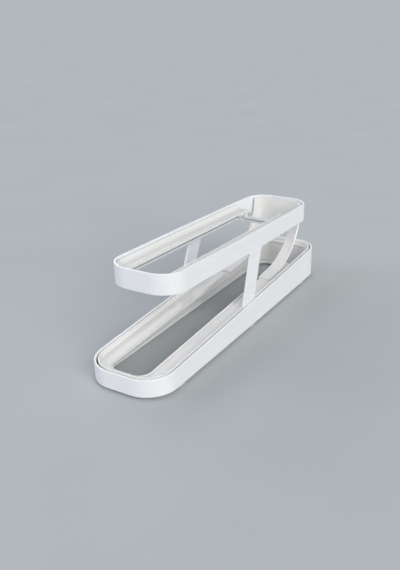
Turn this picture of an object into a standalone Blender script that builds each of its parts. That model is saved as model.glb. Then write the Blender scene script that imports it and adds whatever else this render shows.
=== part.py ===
"""Two-tier rolling dispenser, fed by gravity.

The upper track slopes down to the rear. Behind its open end a curved return
slide leads down to the lower track, which slopes down to the front.
Metres, +Z up, front at -Y. The origin is under the middle, level with the
feet's undersides.
"""
import math
from collections import namedtuple

import bmesh
import bpy
from mathutils import Vector

MM = 0.001

Plan = namedtuple("Plan", "half_width front rear front_radius rear_radius bow stations")
Slope = namedtuple("Slope", "front rear at_front at_rear")

# Shared clearances and mesh steps
SEAT_GAP = 0.3 * MM
OVERRUN = 5.0 * MM
CORNER_STEPS = 9
FRONT_STATIONS = 5
REAR_STATIONS = 2
ROUND_STEPS = 2

# Base shell: a wedge-shaped wall on an inward flange
BASE_LENGTH = 356.0 * MM
BASE_WIDTH = 87.4 * MM
BASE_BOW = 0.9 * MM
BASE_FRONT_RADIUS = 30.0 * MM
BASE_REAR_RADIUS = 24.0 * MM
BASE_FRONT_HEIGHT = 17.6 * MM
BASE_REAR_HEIGHT = 36.1 * MM
BASE_WALL = 2.2 * MM
BASE_FLANGE_WIDTH = 12.0 * MM
BASE_FLANGE_THICKNESS = 2.0 * MM
RIM_ROUND = 0.7 * MM

# Anti-slip feet, glued into shallow recesses under the flange
FOOT_STAND = 3.0 * MM
FOOT_RECESS = 0.6 * MM
FOOT_WIDTH = 7.6 * MM
FOOT_LENGTH = 10.4 * MM
FOOT_CORNER = 2.2 * MM
FOOT_TAPER = 0.4 * MM
FOOT_EDGE_MARGIN = 1.3 * MM
FOOT_FRONT_SETBACK = 42.0 * MM
FOOT_MIDDLE_PLACE = 2.0 * MM
FOOT_REAR_SETBACK = 46.0 * MM

# Lower track: a tray that stands in the base, a groove's width inside its wall
GROOVE = 1.5 * MM
TRACK_WALL = 2.0 * MM
TRACK_SKIRT_WALL = 1.8 * MM
TRACK_FLOOR_DROP = 4.5 * MM
TRACK_FLOOR_THICKNESS = 1.8 * MM
SLOT_SIDE_MARGIN = 23.2 * MM
SLOT_END_RADIUS = 12.0 * MM
SLOT_FRONT_MARGIN = 5.4 * MM
RAIL_WIDTH = 1.6 * MM
RAIL_HEIGHT = 1.0 * MM
RAIL_CHAMFER = 0.4 * MM
RAIL_RAMP = 0.6 * MM
REAR_OPENING_SETBACK = 64.0 * MM
REAR_OPENING_LIP = 1.4 * MM
REAR_OPENING_CORNER = 3.0 * MM

# Upper frame: a band with one strut moulded on each side
FRAME_SIDE_SETBACK = 5.4 * MM
FRAME_FRONT_SETBACK = 36.3 * MM
FRAME_REAR_SETBACK = 15.3 * MM
FRAME_BOW = 1.0 * MM
FRAME_FRONT_RADIUS = 25.0 * MM
FRAME_REAR_RADIUS = 25.0 * MM
FRAME_WALL = 2.2 * MM
BAND_HEIGHT = 20.3 * MM
BAND_FRONT_RISE = 88.0 * MM
BAND_REAR_RISE = 76.7 * MM
LEDGE_RISE = 0.6 * MM
LEDGE_WIDTH = 3.2 * MM
LEDGE_THICKNESS = 1.8 * MM
LEDGE_BRIDGE = 8.0 * MM
LEDGE_CORNER = 3.0 * MM
STRUT_WIDTH = 24.5 * MM
STRUT_FRONT_FOOT = -16.5 * MM
STRUT_LEAN = 0.405
STRUT_FRONT_FILLET = 4.5 * MM
STRUT_REAR_FILLET = 7.0 * MM
STRUT_BREAK = 0.2 * MM
TONGUE_THICKNESS = 1.4 * MM
TONGUE_DEPTH = 9.0 * MM
TONGUE_SIDE_GAP = 0.5 * MM

# Upper track: a coved tray that drops into the band and is open at the rear
TRAY_SIDE_GAP = 0.4 * MM
TRAY_RIM_DROP = 2.0 * MM
TRAY_RIM_WIDTH = 1.6 * MM
TRAY_FLOOR_DROP = 7.3 * MM
TRAY_COVE_REACH = 6.3 * MM
TRAY_THICKNESS = 1.8 * MM
DROP_LENGTH = 52.7 * MM
TRAY_SLOT_FRONT_MARGIN = 2.0 * MM
TRAY_SLOT_END_RADIUS = 6.0 * MM
TRAY_BRIDGE_LENGTH = 6.0 * MM
TRAY_BRIDGE_DEPTH = 6.8 * MM
TRAY_BRIDGE_SETBACK = 0.5 * MM
COVE_STEPS = 4

# Return slide: a scoop under the drop that runs out in two strips
SLIDE_EDGE_MARGIN = 5.3 * MM
SLIDE_THICKNESS = 1.8 * MM
SLIDE_REACH = 78.7 * MM
SLIDE_RUN = 22.0 * MM
SLIDE_RAIL_GAP = 1.7 * MM
SLIDE_FRAME_GAP = 1.2 * MM
SLIDE_TOP_DROP = 2.0 * MM
SLIDE_STRIP_WIDTH = 14.0 * MM
SLIDE_WINDOW_TOP_DROP = 25.0 * MM
SLIDE_COLUMNS = 24
SLIDE_ROWS = 20
SLIDE_RUN_ROWS = 3
TAB_WIDTH = 5.0 * MM
TAB_LENGTH = 8.0 * MM
TAB_DEPTH = 5.0 * MM
TAB_SETBACK = 6.0 * MM
TAB_EDGE_MARGIN = 3.0 * MM

# Finishes: colour, roughness
WHITE_SHELL = ((0.86, 0.88, 0.90, 1.0), 0.32)
WARM_TRACK = ((0.85, 0.84, 0.83, 1.0), 0.28)
CLEAR_GREY = ((0.62, 0.66, 0.68, 1.0), 0.45)

# Places worked out from the sizes above
BASE_HALF_LENGTH = BASE_LENGTH / 2
FRAME_FRONT = FRAME_FRONT_SETBACK - BASE_HALF_LENGTH
FRAME_REAR = BASE_HALF_LENGTH - FRAME_REAR_SETBACK
TRAY_REAR = FRAME_REAR - DROP_LENGTH
SLIDE_LIFT_OFF = FRAME_REAR - SLIDE_REACH
SLIDE_FRONT = SLIDE_LIFT_OFF - SLIDE_RUN
LOWER_RAIL_END = SLIDE_FRONT - SLIDE_RAIL_GAP
REAR_OPENING_START = BASE_HALF_LENGTH - REAR_OPENING_SETBACK
SLOT_HALF_WIDTH = BASE_WIDTH / 2 - SLOT_SIDE_MARGIN
FOOT_ROWS = {"front": FOOT_FRONT_SETBACK - BASE_HALF_LENGTH, "middle": FOOT_MIDDLE_PLACE,
             "rear": BASE_HALF_LENGTH - FOOT_REAR_SETBACK}


def spread(start, end, count):
    """Evenly spaced places between start and end, both left out."""
    return tuple(start + (end - start) * i / (count + 1) for i in range(1, count + 1))


BASE_STATIONS = spread(BASE_FRONT_RADIUS - BASE_HALF_LENGTH, LOWER_RAIL_END, FRONT_STATIONS)
BASE_STATIONS += (LOWER_RAIL_END, LOWER_RAIL_END + RAIL_RAMP)
BASE_STATIONS += spread(LOWER_RAIL_END, REAR_OPENING_START, 1)
FRAME_STATIONS = spread(FRAME_FRONT + FRAME_FRONT_RADIUS, TRAY_REAR, FRONT_STATIONS + REAR_STATIONS)
BASE_PLAN = Plan(BASE_WIDTH / 2 - BASE_BOW, -BASE_HALF_LENGTH, BASE_HALF_LENGTH,
                 BASE_FRONT_RADIUS, BASE_REAR_RADIUS, BASE_BOW, BASE_STATIONS)
BASE_RIM = Slope(-BASE_HALF_LENGTH, BASE_HALF_LENGTH,
                 FOOT_STAND + BASE_FRONT_HEIGHT, FOOT_STAND + BASE_REAR_HEIGHT)
BASE_FLANGE_TOP = FOOT_STAND + BASE_FLANGE_THICKNESS
FOOT_PLAN = Plan(FOOT_WIDTH / 2, -FOOT_LENGTH / 2, FOOT_LENGTH / 2, FOOT_CORNER, FOOT_CORNER, 0.0, ())
TRACK_INSET = BASE_WALL + GROOVE
TRACK_INNER_INSET = TRACK_INSET + TRACK_WALL
TRACK_BOTTOM = BASE_FLANGE_TOP + SEAT_GAP
SLOT_PLAN = Plan(SLOT_HALF_WIDTH, -BASE_HALF_LENGTH + TRACK_INNER_INSET + SLOT_FRONT_MARGIN,
                 REAR_OPENING_START + REAR_OPENING_LIP, SLOT_END_RADIUS, REAR_OPENING_LIP, 0.0,
                 BASE_STATIONS)
FRAME_HALF_WIDTH = BASE_WIDTH / 2 - FRAME_SIDE_SETBACK
FRAME_PLAN = Plan(FRAME_HALF_WIDTH - FRAME_BOW, FRAME_FRONT, FRAME_REAR,
                  FRAME_FRONT_RADIUS, FRAME_REAR_RADIUS, FRAME_BOW, FRAME_STATIONS)
BAND_BOTTOM = Slope(FRAME_FRONT, FRAME_REAR, BAND_FRONT_RISE, BAND_REAR_RISE)
STRUT_PLAN = FRAME_PLAN._replace(half_width=BASE_PLAN.half_width - BASE_WALL - SEAT_GAP, bow=BASE_BOW)
SLIDE_HALF_WIDTH = FRAME_PLAN.half_width - SLIDE_EDGE_MARGIN
TRAY_INSET = FRAME_WALL + TRAY_SIDE_GAP
TRAY_INNER_INSET = TRAY_INSET + TRAY_RIM_WIDTH
TRAY_SLOT_FRONT = FRAME_FRONT + TRAY_INNER_INSET + TRAY_COVE_REACH + TRAY_SLOT_FRONT_MARGIN


def height(slope, y, rise=0.0):
    """Height of a sloping plane at y, moved up by rise."""
    share = (y - slope.front) / (slope.rear - slope.front)
    return slope.at_front + (slope.at_rear - slope.at_front) * share + rise


def arc(centre, radius, start, end, steps):
    """Points on an arc in a plane, angles in degrees."""
    angles = [math.radians(start + (end - start) * i / steps) for i in range(steps + 1)]
    return [(centre[0] + radius * math.cos(a), centre[1] + radius * math.sin(a)) for a in angles]


def outline(plan, inset=0.0):
    """Anticlockwise outline of a plan, moved inwards by inset, its long sides bowed out."""
    half = plan.half_width - inset
    front, rear = plan.front + inset, plan.rear - inset
    front_radius = max(plan.front_radius - inset, RIM_ROUND)
    rear_radius = max(plan.rear_radius - inset, RIM_ROUND)
    rear_side, front_side = rear - rear_radius, front + front_radius
    points = arc((half - rear_radius, rear_side), rear_radius, 0, 90, CORNER_STEPS)
    points += arc((rear_radius - half, rear_side), rear_radius, 90, 180, CORNER_STEPS)
    points += [(-half, y) for y in reversed(plan.stations)]
    points += arc((front_radius - half, front_side), front_radius, 180, 270, CORNER_STEPS)
    points += arc((half - front_radius, front_side), front_radius, 270, 360, CORNER_STEPS)
    points += [(half, y) for y in plan.stations]
    middle, half_length = (front + rear) / 2, (rear - front) / 2
    return [(x * (1 + plan.bow / half * (1 - ((y - middle) / half_length) ** 2)), y) for x, y in points]


def ring(plan, inset, level):
    """One loop of a loft: a plan outline whose height follows level(y)."""
    return [(x, y, level(y)) for x, y in outline(plan, inset)]


def on(slope, rise=0.0):
    """Level function for a loop that lies on a sloping plane."""
    return lambda y: height(slope, y, rise)


def flat(z):
    """Level function for a horizontal loop."""
    return lambda y: z


def rounded_rim(plan, outer_inset, inner_inset, slope, rise=0.0):
    """Loops over a rounded rim, from the outer face to the inner face."""
    loops = []
    for i in range(ROUND_STEPS + 1):
        turn = math.radians(90 * i / ROUND_STEPS)
        inset = outer_inset + RIM_ROUND * (1 - math.cos(turn))
        loops.append(ring(plan, inset, on(slope, rise + RIM_ROUND * (math.sin(turn) - 1))))
    for i in range(ROUND_STEPS + 1):
        turn = math.radians(90 - 90 * i / ROUND_STEPS)
        inset = inner_inset - RIM_ROUND * (1 - math.cos(turn))
        loops.append(ring(plan, inset, on(slope, rise + RIM_ROUND * (math.sin(turn) - 1))))
    return loops


def finish(name, colour_and_roughness):
    """Material of a plastic piece."""
    material = bpy.data.materials.new(name)
    material.use_nodes = True
    shader = material.node_tree.nodes["Principled BSDF"]
    colour, roughness = colour_and_roughness
    shader.inputs["Base Color"].default_value = colour
    shader.inputs["Roughness"].default_value = roughness
    shader.inputs["Metallic"].default_value = 0.0
    material.diffuse_color = colour
    return material


def new_object(name, bm, material=None, solid=True):
    """Object from a bmesh with smooth round surfaces; a solid gets outward faces."""
    if solid:
        bmesh.ops.recalc_face_normals(bm, faces=bm.faces)
    mesh = bpy.data.meshes.new(name)
    bm.to_mesh(mesh)
    bm.free()
    if material:
        mesh.materials.append(material)
    mesh.shade_smooth()
    mesh.set_sharp_from_angle(angle=math.radians(30))
    piece = bpy.data.objects.new(name, mesh)
    bpy.context.scene.collection.objects.link(piece)
    return piece


def loft(name, loops, closed=False, material=None):
    """Solid through loops of equal point count: a closed tube of loops, or capped at both ends."""
    bm = bmesh.new()
    rings = [[bm.verts.new(point) for point in loop] for loop in loops]
    pairs = list(zip(rings, rings[1:]))
    if closed:
        pairs.append((rings[-1], rings[0]))
    else:
        bm.faces.new(rings[0])
        bm.faces.new(rings[-1])
    for one, other in pairs:
        count = len(one)
        for i in range(count):
            j = (i + 1) % count
            bm.faces.new((one[i], one[j], other[j], other[i]))
    return new_object(name, bm, material)


def prism(name, profile, direction, start, end):
    """A profile in a plane, extruded across it: direction x takes (y, z), y takes (x, z)."""
    bm = bmesh.new()
    place = {"x": lambda p: (start, p[0], p[1]), "y": lambda p: (p[0], start, p[1])}[direction]
    travel = {"x": Vector((end - start, 0, 0)), "y": Vector((0, end - start, 0))}[direction]
    face = bm.faces.new([bm.verts.new(place(p)) for p in profile])
    grown = bmesh.ops.extrude_face_region(bm, geom=[face])
    moved = [item for item in grown["geom"] if isinstance(item, bmesh.types.BMVert)]
    bmesh.ops.translate(bm, verts=moved, vec=travel)
    return new_object(name, bm)


def block(name, low, high):
    """A box between two corners."""
    bm = bmesh.new()
    bmesh.ops.create_cube(bm, size=1.0)
    size = [b - a for a, b in zip(low, high)]
    centre = [(a + b) / 2 for a, b in zip(low, high)]
    bmesh.ops.scale(bm, vec=size, verts=bm.verts)
    bmesh.ops.translate(bm, vec=centre, verts=bm.verts)
    return new_object(name, bm)


def combine(piece, tool, operation):
    """Boolean of a piece with a flat-shaded tool object that is left out of the model."""
    tool.data.shade_flat()
    tool.hide_render = True
    tool.display_type = "WIRE"
    modifier = piece.modifiers.new(tool.name, "BOOLEAN")
    modifier.operation = operation
    modifier.solver = "EXACT"
    modifier.object = tool


def well(name, plan, inset=0.0):
    """Cutter that runs a plan outline through everything above and below a tier's floor."""
    top = flat(BAND_FRONT_RISE + BAND_HEIGHT + OVERRUN)
    return loft(name, [ring(plan, inset, flat(-OVERRUN)), ring(plan, inset, top)])


def foot_places():
    """Name and location of each foot, close inside the base's bowed wall."""
    for row, y in FOOT_ROWS.items():
        wall = BASE_PLAN.half_width + BASE_PLAN.bow * (1 - (y / BASE_HALF_LENGTH) ** 2)
        x = wall - FOOT_EDGE_MARGIN - FOOT_WIDTH / 2
        yield "%s_left" % row, (-x, y, 0.0)
        yield "%s_right" % row, (x, y, 0.0)


def make_feet(base, material):
    """Six soft pads that stand the base off the ground; they share one mesh."""
    loops = [ring(FOOT_PLAN, FOOT_TAPER, flat(0.0)),
             ring(FOOT_PLAN, 0.0, flat(FOOT_TAPER)),
             ring(FOOT_PLAN, 0.0, flat(FOOT_STAND + FOOT_RECESS - SEAT_GAP))]
    pad = None
    for name, location in foot_places():
        if pad is None:
            pad = loft("foot_" + name, loops, material=material)
            foot = pad
        else:
            foot = bpy.data.objects.new("foot_" + name, pad.data)
            bpy.context.scene.collection.objects.link(foot)
        foot.location = location
        foot.parent = base


def make_base_shell(material):
    """Wedge-shaped wall with a rounded rim, on a flange with six recesses for the feet."""
    loops = [ring(BASE_PLAN, RIM_ROUND, flat(FOOT_STAND)),
             ring(BASE_PLAN, 0.0, flat(FOOT_STAND + RIM_ROUND))]
    loops += rounded_rim(BASE_PLAN, 0.0, BASE_WALL, BASE_RIM)
    loops += [ring(BASE_PLAN, BASE_WALL, flat(BASE_FLANGE_TOP)),
              ring(BASE_PLAN, BASE_FLANGE_WIDTH, flat(BASE_FLANGE_TOP)),
              ring(BASE_PLAN, BASE_FLANGE_WIDTH, flat(FOOT_STAND))]
    base = loft("base_shell", loops, closed=True, material=material)
    recess = [ring(FOOT_PLAN, -SEAT_GAP, flat(FOOT_STAND - OVERRUN)),
              ring(FOOT_PLAN, -SEAT_GAP, flat(FOOT_STAND + FOOT_RECESS))]
    for name, location in foot_places():
        cutter = loft("recess_" + name, recess)
        cutter.location = location
        combine(base, cutter, "DIFFERENCE")
    return base


def rail_loops(plan, slope, floor_rise, end):
    """Loops over a low rail round a slot's edge; behind end the rail sinks to the floor."""
    def raised(rise):
        return lambda y: height(slope, y, floor_rise + (rise if y < end else 0.0))
    return [ring(plan, -RAIL_WIDTH, on(slope, floor_rise)),
            ring(plan, RAIL_CHAMFER - RAIL_WIDTH, raised(RAIL_HEIGHT)),
            ring(plan, -RAIL_CHAMFER, raised(RAIL_HEIGHT)),
            ring(plan, 0.0, raised(RAIL_HEIGHT - RAIL_CHAMFER))]


def tab_middle(side):
    """Plan place of a slide tab, on the strip beside the window."""
    return side * (SLIDE_HALF_WIDTH - TAB_EDGE_MARGIN - TAB_WIDTH / 2), SLIDE_FRONT + TAB_SETBACK + TAB_LENGTH / 2


def make_lower_track(material):
    """Tray whose ring wall stands on the base's flange, with the roll slot and the rear opening."""
    floor = -TRACK_FLOOR_DROP
    skirt_inset = TRACK_INSET + TRACK_SKIRT_WALL
    under = on(BASE_RIM, floor - TRACK_FLOOR_THICKNESS)
    loops = rounded_rim(BASE_PLAN, TRACK_INSET, TRACK_INNER_INSET, BASE_RIM)
    loops.append(ring(BASE_PLAN, TRACK_INNER_INSET, on(BASE_RIM, floor)))
    loops += rail_loops(SLOT_PLAN, BASE_RIM, floor, LOWER_RAIL_END)
    loops += [ring(SLOT_PLAN, 0.0, under),
              ring(BASE_PLAN, skirt_inset, under),
              ring(BASE_PLAN, skirt_inset, flat(TRACK_BOTTOM)),
              ring(BASE_PLAN, TRACK_INSET, flat(TRACK_BOTTOM))]
    track = loft("lower_track", loops, closed=True, material=material)
    wide = TRACK_INNER_INSET + REAR_OPENING_LIP
    opening = Plan(BASE_PLAN.half_width - wide, REAR_OPENING_START, BASE_PLAN.rear - wide,
                   REAR_OPENING_CORNER, BASE_PLAN.rear_radius - wide, 0.0, ())
    combine(track, well("rear_opening", opening), "DIFFERENCE")
    tongue_inner = STRUT_PLAN.half_width + STRUT_PLAN.bow - TONGUE_THICKNESS
    low = STRUT_FRONT_FOOT - TONGUE_SIDE_GAP
    high = STRUT_FRONT_FOOT + STRUT_WIDTH + TONGUE_SIDE_GAP
    bottom = height(BASE_RIM, low) - TONGUE_DEPTH - TONGUE_SIDE_GAP
    for side in (-1, 1):
        inner, outer = side * (tongue_inner - SEAT_GAP), side * (BASE_WIDTH / 2)
        corner = (min(inner, outer), low, bottom)
        opposite = (max(inner, outer), high, height(BASE_RIM, high) + OVERRUN)
        combine(track, block("tongue_pocket_%d" % side, corner, opposite), "DIFFERENCE")
        x, y = tab_middle(side)
        half_x, half_y = TAB_WIDTH / 2 + SEAT_GAP, TAB_LENGTH / 2 + SEAT_GAP
        combine(track, block("tab_socket_%d" % side, (x - half_x, y - half_y, TRACK_BOTTOM),
                             (x + half_x, y + half_y, height(BASE_RIM, y))), "DIFFERENCE")
    return track


def slide_surface(x, turn):
    """Point of the slide's rear face at x: turn is the edge curve's angle from level, in radians."""
    level = math.atan((BASE_RIM.at_rear - BASE_RIM.at_front) / BASE_LENGTH)
    foot = height(BASE_RIM, SLIDE_LIFT_OFF) - TRACK_FLOOR_DROP + SEAT_GAP
    inset = FRAME_WALL + SLIDE_FRAME_GAP
    radius = FRAME_REAR_RADIUS - inset
    corner_x = FRAME_PLAN.half_width - FRAME_REAR_RADIUS
    rear, shoulder = FRAME_REAR - inset, FRAME_REAR - FRAME_REAR_RADIUS
    edge = shoulder + math.sqrt(radius ** 2 - (SLIDE_HALF_WIDTH - corner_x) ** 2)
    sweep = (edge - SLIDE_LIFT_OFF) / (1 - math.sin(level))
    over = max(abs(x) - corner_x, 0.0)
    bulge = shoulder + math.sqrt(radius ** 2 - over ** 2) - edge
    share = math.sin(turn) ** 2 - math.sin(level) ** 2
    y = SLIDE_LIFT_OFF + sweep * (math.sin(turn) - math.sin(level)) + bulge * share
    z = foot + sweep * (math.cos(level) - math.cos(turn))
    top = height(BAND_BOTTOM, rear) + BAND_HEIGHT - SLIDE_TOP_DROP
    return x, y, min(z, top)


def slide_row(turn):
    """Row of points across the slide's rear face."""
    steps = [2 * i / SLIDE_COLUMNS - 1 for i in range(SLIDE_COLUMNS + 1)]
    return [slide_surface(step * SLIDE_HALF_WIDTH, turn) for step in steps]


def make_return_slide(material):
    """Scoop that follows the band's round end at its top and flattens into two strips."""
    level = math.atan((BASE_RIM.at_rear - BASE_RIM.at_front) / BASE_LENGTH)
    first = slide_row(level)
    rows = []
    for i in range(SLIDE_RUN_ROWS):
        y = SLIDE_FRONT + (SLIDE_LIFT_OFF - SLIDE_FRONT) * i / SLIDE_RUN_ROWS
        z = height(BASE_RIM, y) - TRACK_FLOOR_DROP + SEAT_GAP
        rows.append([(x, y, z) for x, _, _ in first])
    for i in range(SLIDE_ROWS + 1):
        rows.append(slide_row(level + (math.radians(90) - level) * i / SLIDE_ROWS))
    bm = bmesh.new()
    grid = [[bm.verts.new(point) for point in row] for row in rows]
    for lower, upper in zip(grid, grid[1:]):
        for i in range(SLIDE_COLUMNS):
            bm.faces.new((lower[i], lower[i + 1], upper[i + 1], upper[i]))
    slide = new_object("return_slide", bm, material, solid=False)
    shell = slide.modifiers.new("sheet", "SOLIDIFY")
    shell.thickness = SLIDE_THICKNESS
    shell.offset = 1.0
    shell.use_even_offset = True

    half = SLIDE_HALF_WIDTH - SLIDE_STRIP_WIDTH
    top = height(BAND_BOTTOM, FRAME_REAR) + BAND_HEIGHT - SLIDE_WINDOW_TOP_DROP
    arch = arc((0.0, top - half), half, 0, 180, 2 * CORNER_STEPS) + [(-half, 0.0), (half, 0.0)]
    combine(slide, prism("slide_window", arch, "y", SLIDE_FRONT - OVERRUN, FRAME_REAR), "DIFFERENCE")
    for side in (-1, 1):
        x, y = tab_middle(side)
        seat = height(BASE_RIM, y) - TRACK_FLOOR_DROP + SEAT_GAP
        tab = block("slide_tab_%d" % side, (x - TAB_WIDTH / 2, y - TAB_LENGTH / 2, seat - TAB_DEPTH),
                    (x + TAB_WIDTH / 2, y + TAB_LENGTH / 2, seat + SLIDE_THICKNESS / 2))
        combine(slide, tab, "UNION")
    return slide


def fillet(before, corner, after, radius):
    """Points of a round corner between two straight edges."""
    to_before = (Vector(before) - Vector(corner)).normalized()
    to_after = (Vector(after) - Vector(corner)).normalized()
    half_angle = to_before.angle(to_after) / 2
    centre = Vector(corner) + (to_before + to_after).normalized() * radius / math.sin(half_angle)
    start = Vector(corner) + to_before * radius / math.tan(half_angle) - centre
    end = Vector(corner) + to_after * radius / math.tan(half_angle) - centre
    points = []
    for i in range(CORNER_STEPS + 1):
        spoke = (start * (CORNER_STEPS - i) + end * i).normalized() * radius
        points.append(tuple(centre + spoke))
    return points


def strut_corner(foot_y):
    """Where a strut's leaning edge from (foot_y, base rim) meets the band's bottom line."""
    rim = height(BASE_RIM, foot_y)
    fall = (BAND_BOTTOM.at_rear - BAND_BOTTOM.at_front) / (BAND_BOTTOM.rear - BAND_BOTTOM.front)
    climb = (height(BAND_BOTTOM, foot_y) - rim) / (1 - fall * STRUT_LEAN)
    return foot_y + STRUT_LEAN * climb, rim + climb


def strut_window(name, foot_y, end, radius):
    """Cutter below the band, from a strut's edge to beyond the tier's end."""
    corner = strut_corner(foot_y)
    foot = (foot_y, height(BASE_RIM, foot_y))
    far = (end, height(BAND_BOTTOM, end))
    profile = [far] + fillet(far, corner, foot, radius) + [foot, (foot_y, 0.0), (end, 0.0)]
    return prism(name, profile, "x", -BASE_WIDTH, BASE_WIDTH)


def make_upper_frame(material):
    """Band and both struts as one moulding; the struts end in tongues for the base's groove."""
    loops = [ring(STRUT_PLAN, 0.0, on(BASE_RIM, -TONGUE_DEPTH)),
             ring(STRUT_PLAN, 0.0, on(BASE_RIM)),
             ring(FRAME_PLAN, 0.0, on(BAND_BOTTOM, -STRUT_BREAK))]
    loops += rounded_rim(FRAME_PLAN, 0.0, FRAME_WALL, BAND_BOTTOM, BAND_HEIGHT)
    loops += [ring(FRAME_PLAN, FRAME_WALL, on(BAND_BOTTOM, -STRUT_BREAK)),
              ring(STRUT_PLAN, FRAME_WALL, on(BASE_RIM, SEAT_GAP)),
              ring(STRUT_PLAN, TONGUE_THICKNESS, on(BASE_RIM, SEAT_GAP)),
              ring(STRUT_PLAN, TONGUE_THICKNESS, on(BASE_RIM, -TONGUE_DEPTH))]
    frame = loft("upper_frame", loops, closed=True, material=material)
    front_end, rear_end = FRAME_FRONT - OVERRUN, FRAME_REAR + OVERRUN
    combine(frame, strut_window("front_window", STRUT_FRONT_FOOT, front_end, STRUT_FRONT_FILLET),
            "DIFFERENCE")
    combine(frame, strut_window("rear_window", STRUT_FRONT_FOOT + STRUT_WIDTH, rear_end, STRUT_REAR_FILLET),
            "DIFFERENCE")

    root = FRAME_WALL / 2
    ledge = loft("ledge", [ring(FRAME_PLAN, root, on(BAND_BOTTOM, LEDGE_RISE)),
                           ring(FRAME_PLAN, root, on(BAND_BOTTOM, LEDGE_RISE + LEDGE_THICKNESS))])
    reach = FRAME_WALL + LEDGE_WIDTH
    hole = Plan(FRAME_PLAN.half_width - reach, FRAME_FRONT + reach, TRAY_REAR - LEDGE_BRIDGE,
                FRAME_FRONT_RADIUS - reach, LEDGE_CORNER, 0.0, ())
    combine(ledge, well("ledge_hole", hole), "DIFFERENCE")
    drop = block("drop_opening", (-BASE_WIDTH, TRAY_REAR, 0.0),
                 (BASE_WIDTH, FRAME_REAR + OVERRUN, BAND_FRONT_RISE + BAND_HEIGHT))
    combine(ledge, drop, "DIFFERENCE")
    combine(frame, ledge, "UNION")
    return frame


def cove_loops(reach, depth, start):
    """Loops down a concave side from its steep top to its level foot, about one ellipse centre."""
    centre_inset = TRAY_INNER_INSET + TRAY_COVE_REACH
    loops = []
    for i in range(COVE_STEPS + 1):
        turn = math.radians(start + (90 - start) * i / COVE_STEPS)
        rise = BAND_HEIGHT - TRAY_RIM_DROP - depth * math.sin(turn)
        loops.append(ring(FRAME_PLAN, centre_inset - reach * math.cos(turn), on(BAND_BOTTOM, rise)))
    return loops


def make_upper_track(material):
    """Coved tray with the roll slot; its rear end is open over the slide."""
    depth = TRAY_FLOOR_DROP - TRAY_RIM_DROP
    skirt_inset = TRAY_INSET + TRAY_THICKNESS
    under_reach = TRAY_COVE_REACH + TRAY_THICKNESS
    under_start = math.degrees(math.acos((TRAY_INNER_INSET + TRAY_COVE_REACH - skirt_inset) / under_reach))
    stand = on(BAND_BOTTOM, LEDGE_RISE + LEDGE_THICKNESS + SEAT_GAP)
    floor = BAND_HEIGHT - TRAY_FLOOR_DROP
    slot = Plan(SLOT_HALF_WIDTH, TRAY_SLOT_FRONT, TRAY_REAR + OVERRUN, TRAY_SLOT_END_RADIUS,
                REAR_OPENING_LIP, 0.0, FRAME_STATIONS)
    loops = cove_loops(TRAY_COVE_REACH, depth, 0)
    loops += rail_loops(slot, BAND_BOTTOM, floor, FRAME_REAR)
    loops.append(ring(slot, 0.0, on(BAND_BOTTOM, floor - TRAY_THICKNESS)))
    loops += reversed(cove_loops(under_reach, depth + TRAY_THICKNESS, under_start))
    loops += [ring(FRAME_PLAN, skirt_inset, stand), ring(FRAME_PLAN, TRAY_INSET, stand)]
    loops.append(ring(FRAME_PLAN, TRAY_INSET, on(BAND_BOTTOM, BAND_HEIGHT - TRAY_RIM_DROP)))
    tray = loft("upper_track", loops, closed=True, material=material)
    combine(tray, block("tray_end", (-BASE_WIDTH, TRAY_REAR, 0.0),
                        (BASE_WIDTH, FRAME_REAR + OVERRUN, BAND_FRONT_RISE + BAND_HEIGHT)), "DIFFERENCE")

    top = height(BAND_BOTTOM, TRAY_REAR, floor - TRAY_THICKNESS / 2)
    inner = SLOT_HALF_WIDTH + SEAT_GAP
    outer = inner + TRAY_THICKNESS
    trough = top - TRAY_BRIDGE_DEPTH
    bridge = [(-outer, top), (-outer, trough - TRAY_THICKNESS), (outer, trough - TRAY_THICKNESS),
              (outer, top), (inner, top), (inner, trough), (-inner, trough), (-inner, top)]
    end = TRAY_REAR - TRAY_BRIDGE_SETBACK
    combine(tray, prism("end_bridge", bridge, "y", end - TRAY_BRIDGE_LENGTH, end), "UNION")
    return tray


def main():
    for item in list(bpy.data.objects):
        bpy.data.objects.remove(item, do_unlink=True)
    white = finish("white_shell", WHITE_SHELL)
    warm = finish("warm_track", WARM_TRACK)
    base = make_base_shell(white)
    make_feet(base, finish("clear_grey", CLEAR_GREY))
    lower_track = make_lower_track(warm)
    lower_track.parent = base
    return_slide = make_return_slide(warm)
    return_slide.parent = lower_track
    upper_frame = make_upper_frame(white)
    upper_frame.parent = return_slide
    upper_track = make_upper_track(warm)
    upper_track.parent = upper_frame


main()
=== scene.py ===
"""Looks of a two-tier rolling dispenser, moulded in satin white plastic.

Each moulding is swept from a plan outline with bmesh operators, on the packed
model's frame. Metres, +Z up, front at -Y.
"""
import math
from collections import namedtuple

import bmesh
import bpy
from bmesh.types import BMEdge, BMFace, BMVert
from bpy.props import FloatProperty, FloatVectorProperty, IntProperty, PointerProperty
from bpy.types import Operator, Panel, PropertyGroup
from mathutils import Matrix, Vector


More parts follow.
